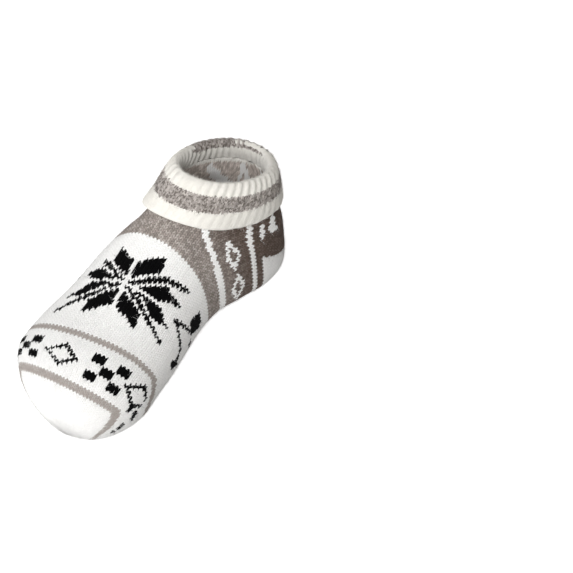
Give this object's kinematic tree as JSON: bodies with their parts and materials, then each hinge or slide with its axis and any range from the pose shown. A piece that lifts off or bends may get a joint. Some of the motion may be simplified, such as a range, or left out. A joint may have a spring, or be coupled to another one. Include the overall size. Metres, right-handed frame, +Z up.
{
  "type": "slipper sock",
  "caption": "Knitted slipper sock with a turned-down ribbed cuff, empty and standing on its sole, star and stripe colourwork.",
  "frame": {"origin": "on the floor under the middle of the sock's box", "axes": "+Z up, toe towards -Y, big-toe side towards +X"},
  "size_m": [0.0992, 0.247, 0.1046],
  "materials": {
    "patterned_knit": "brushed wool jersey, white with black and taupe-grey colourwork",
    "ribbed_knit": "brushed wool rib, cream with a melange grey band"
  },
  "bodies": {
    "root": {"foot": "patterned_knit", "rib_cuff": "ribbed_knit"}
  },
  "joints": []
}
